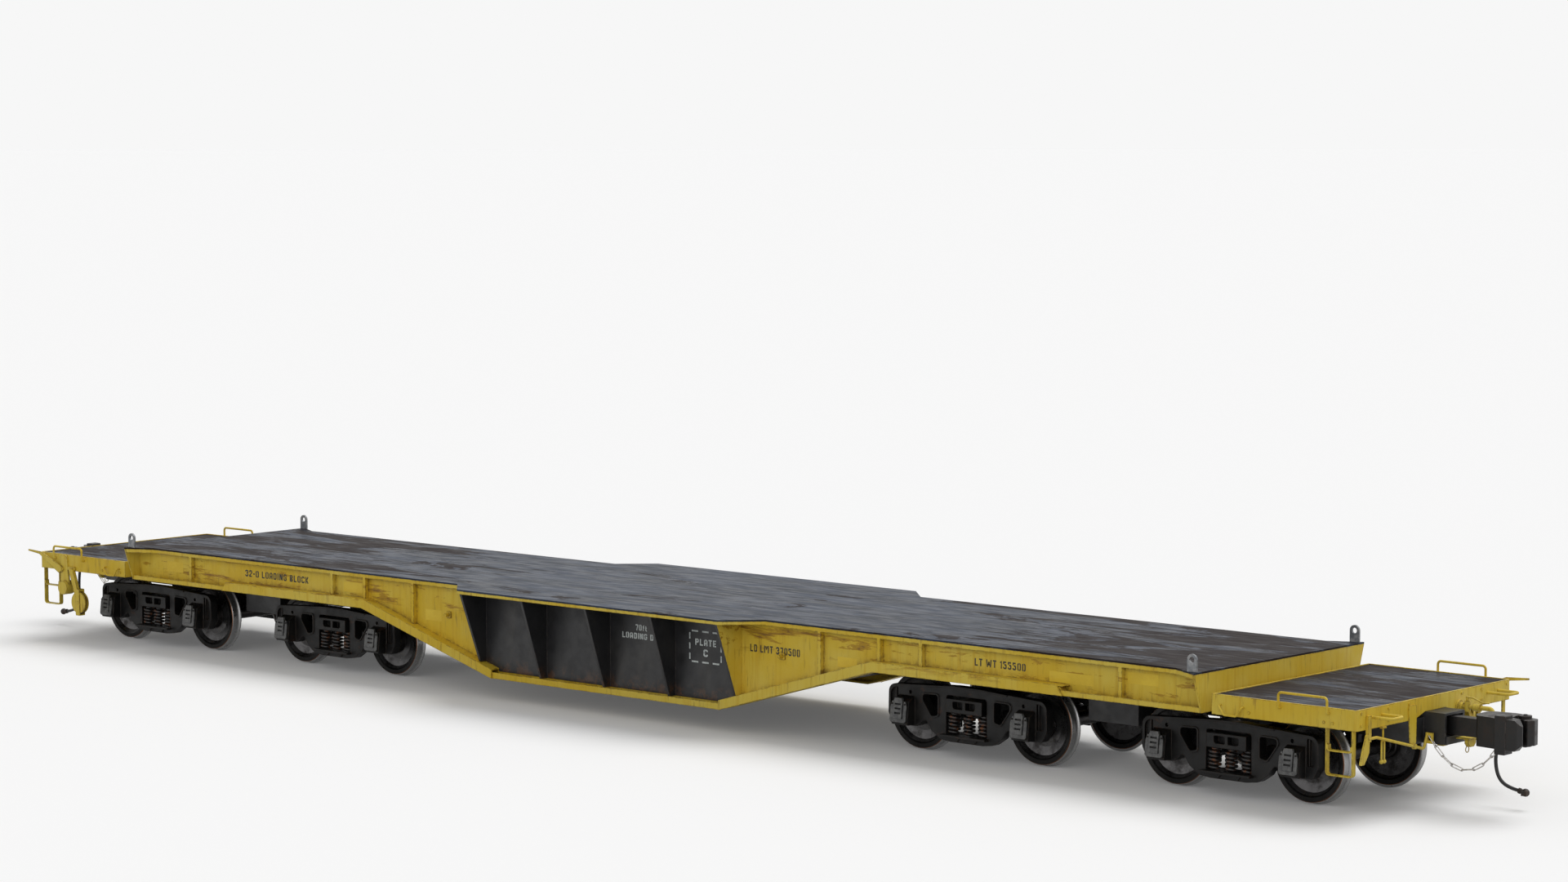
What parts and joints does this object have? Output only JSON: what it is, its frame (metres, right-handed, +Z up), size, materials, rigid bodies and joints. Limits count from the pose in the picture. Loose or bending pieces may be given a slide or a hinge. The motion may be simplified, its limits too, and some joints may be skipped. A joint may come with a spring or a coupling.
{
  "type": "railway flatcar",
  "caption": "Heavy-duty railway flatcar: long flat deck on deep belly girders, carried by span bolsters on sprung trucks, with end platforms, steps, couplers and air hoses.",
  "frame": {"origin": "midway along and across the car, at the lowest point of the wheel flanges", "axes": "+X along the car, +Y across it, +Z up"},
  "size_m": [24.5222, 3.687, 1.639],
  "materials": {
    "yellow_paint": "weathered yellow paint with rust at the edges",
    "black_paint": "dull black paint",
    "deck_steel": "bare worn plate with rust streaks",
    "truck_casting": "black and brown grime over cast steel",
    "spring_steel": "black with a rust tint",
    "wheel_steel": "brown wheel plate with a bright tread",
    "coupler_casting": "rusty cast steel",
    "hose_rubber": "matt black rubber",
    "pipe_metal": "dirty brown metal"
  },
  "bodies": {
    "carbody": {"deck": "deck_steel", "side_girder_left": "yellow_paint", "side_girder_right": "yellow_paint", "middle_bay_left": "black_paint", "middle_bay_right": "black_paint", "end_plates": "yellow_paint", "centre_sill": "black_paint", "cross_bearers": "black_paint", "lashing_lugs": "yellow_paint"},
    "span_b": {"span_bolster_b": "black_paint", "platform_frame_b": "yellow_paint", "platform_tread_b": "deck_steel", "draft_housing_b": "black_paint", "grab_irons_b": "yellow_paint", "corner_steps_b": "yellow_paint", "release_lever_b": "yellow_paint", "brake_pipe_b": "pipe_metal", "hand_brake_gear_b": "yellow_paint", "air_hose_b": "hose_rubber", "gladhand_b": "pipe_metal"},
    "span_a": {"span_bolster_a": "black_paint", "platform_frame_a": "yellow_paint", "platform_tread_a": "deck_steel", "draft_housing_a": "black_paint", "grab_irons_a": "yellow_paint", "corner_steps_a": "yellow_paint", "release_lever_a": "yellow_paint", "brake_pipe_a": "pipe_metal", "hand_brake_gear_a": "yellow_paint", "air_hose_a": "hose_rubber", "gladhand_a": "pipe_metal"},
    "truck_1": {"sideframes_1": "truck_casting", "truck_bolster_1": "truck_casting", "spring_nests_1": "spring_steel", "brake_beams_1": "truck_casting"},
    "axle_1": {"wheelset_1": "wheel_steel"},
    "axle_2": {"wheelset_2": "wheel_steel"},
    "truck_2": {"sideframes_2": "truck_casting", "truck_bolster_2": "truck_casting", "spring_nests_2": "spring_steel", "brake_beams_2": "truck_casting"},
    "axle_3": {"wheelset_3": "wheel_steel"},
    "axle_4": {"wheelset_4": "wheel_steel"},
    "truck_3": {"sideframes_3": "truck_casting", "truck_bolster_3": "truck_casting", "spring_nests_3": "spring_steel", "brake_beams_3": "truck_casting"},
    "axle_5": {"wheelset_5": "wheel_steel"},
    "axle_6": {"wheelset_6": "wheel_steel"},
    "truck_4": {"sideframes_4": "truck_casting", "truck_bolster_4": "truck_casting", "spring_nests_4": "spring_steel", "brake_beams_4": "truck_casting"},
    "axle_7": {"wheelset_7": "wheel_steel"},
    "axle_8": {"wheelset_8": "wheel_steel"},
    "coupler_body_b": {"coupler_b": "coupler_casting"},
    "knuckle_body_b": {"knuckle_b": "coupler_casting"},
    "coupler_body_a": {"coupler_a": "coupler_casting"},
    "knuckle_body_a": {"knuckle_a": "coupler_casting"}
  },
  "joints": [
    {"name": "span_swivel_b", "type": "hinge", "parent": "carbody", "child": "span_b", "pos_m": [7.2475, 0, 0.966], "axis": [0, 0, 1], "range_deg": [-4, 4]},
    {"name": "span_swivel_a", "type": "hinge", "parent": "carbody", "child": "span_a", "pos_m": [-7.2475, 0, 0.966], "axis": [0, 0, 1], "range_deg": [-4, 4]},
    {"name": "truck_swivel_1", "type": "hinge", "parent": "span_a", "child": "truck_1", "pos_m": [-9.089, 0, 0.738], "axis": [0, 0, 1], "range_deg": [-4, 4]},
    {"name": "axle_spin_1", "type": "hinge", "parent": "truck_1", "child": "axle_1", "pos_m": [-9.978, 0, 0.482], "axis": [0, 1, 0], "continuous": true},
    {"name": "axle_spin_2", "type": "hinge", "parent": "truck_1", "child": "axle_2", "pos_m": [-8.2, 0, 0.482], "axis": [0, 1, 0], "continuous": true},
    {"name": "truck_swivel_2", "type": "hinge", "parent": "span_a", "child": "truck_2", "pos_m": [-5.406, 0, 0.738], "axis": [0, 0, 1], "range_deg": [-4, 4]},
    {"name": "axle_spin_3", "type": "hinge", "parent": "truck_2", "child": "axle_3", "pos_m": [-6.295, 0, 0.482], "axis": [0, 1, 0], "continuous": true},
    {"name": "axle_spin_4", "type": "hinge", "parent": "truck_2", "child": "axle_4", "pos_m": [-4.517, 0, 0.482], "axis": [0, 1, 0], "continuous": true},
    {"name": "truck_swivel_3", "type": "hinge", "parent": "span_b", "child": "truck_3", "pos_m": [5.406, 0, 0.738], "axis": [0, 0, 1], "range_deg": [-4, 4]},
    {"name": "axle_spin_5", "type": "hinge", "parent": "truck_3", "child": "axle_5", "pos_m": [4.517, 0, 0.482], "axis": [0, 1, 0], "continuous": true},
    {"name": "axle_spin_6", "type": "hinge", "parent": "truck_3", "child": "axle_6", "pos_m": [6.295, 0, 0.482], "axis": [0, 1, 0], "continuous": true},
    {"name": "truck_swivel_4", "type": "hinge", "parent": "span_b", "child": "truck_4", "pos_m": [9.089, 0, 0.738], "axis": [0, 0, 1], "range_deg": [-4, 4]},
    {"name": "axle_spin_7", "type": "hinge", "parent": "truck_4", "child": "axle_7", "pos_m": [8.2, 0, 0.482], "axis": [0, 1, 0], "continuous": true},
    {"name": "axle_spin_8", "type": "hinge", "parent": "truck_4", "child": "axle_8", "pos_m": [9.978, 0, 0.482], "axis": [0, 1, 0], "continuous": true},
    {"name": "coupler_swing_b", "type": "hinge", "parent": "span_b", "child": "coupler_body_b", "pos_m": [10.747, 0, 0.925], "axis": [0, 0, 1], "range_deg": [-7, 7]},
    {"name": "knuckle_swing_b", "type": "hinge", "parent": "coupler_body_b", "child": "knuckle_body_b", "pos_m": [12.077, 0.14, 0.925], "axis": [0, 0, 1], "range_deg": [0, 40]},
    {"name": "coupler_swing_a", "type": "hinge", "parent": "span_a", "child": "coupler_body_a", "pos_m": [-10.747, 0, 0.925], "axis": [0, 0, 1], "range_deg": [-7, 7]},
    {"name": "knuckle_swing_a", "type": "hinge", "parent": "coupler_body_a", "child": "knuckle_body_a", "pos_m": [-12.077, -0.14, 0.925], "axis": [0, 0, 1], "range_deg": [0, 40]}
  ]
}
